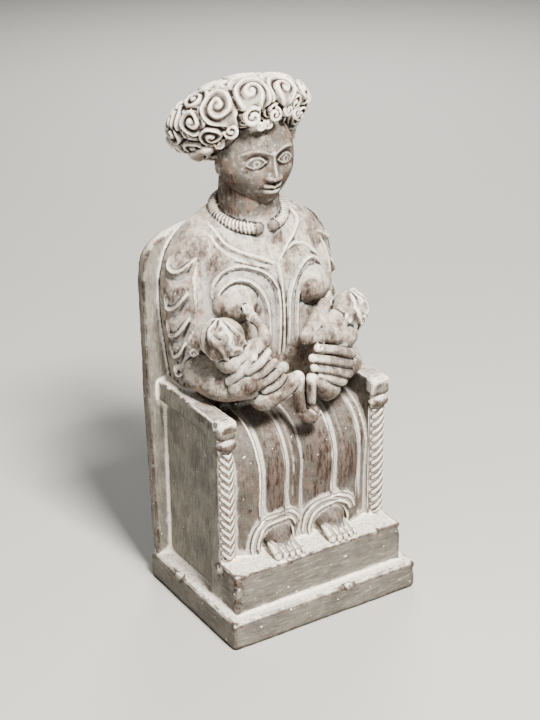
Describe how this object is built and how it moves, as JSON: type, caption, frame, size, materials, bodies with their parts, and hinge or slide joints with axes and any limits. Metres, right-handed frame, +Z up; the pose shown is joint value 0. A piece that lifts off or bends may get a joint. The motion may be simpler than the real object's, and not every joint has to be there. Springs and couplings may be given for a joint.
{
  "type": "seated mother and child figure",
  "caption": "Cast plaster figure of a seated mother nursing infants on a high-backed throne with a step and base.",
  "frame": {"origin": "middle of the base's underside", "axes": "+Z up, the figure looks towards -Y, +X is its left"},
  "size_m": [0.101, 0.0858, 0.2442],
  "materials": {
    "patinated_plaster": "matt plaster with a rubbed red-brown coat and a pale wash in the hollows"
  },
  "bodies": {
    "root": {"mother_and_infants_cast": "patinated_plaster"}
  },
  "joints": []
}
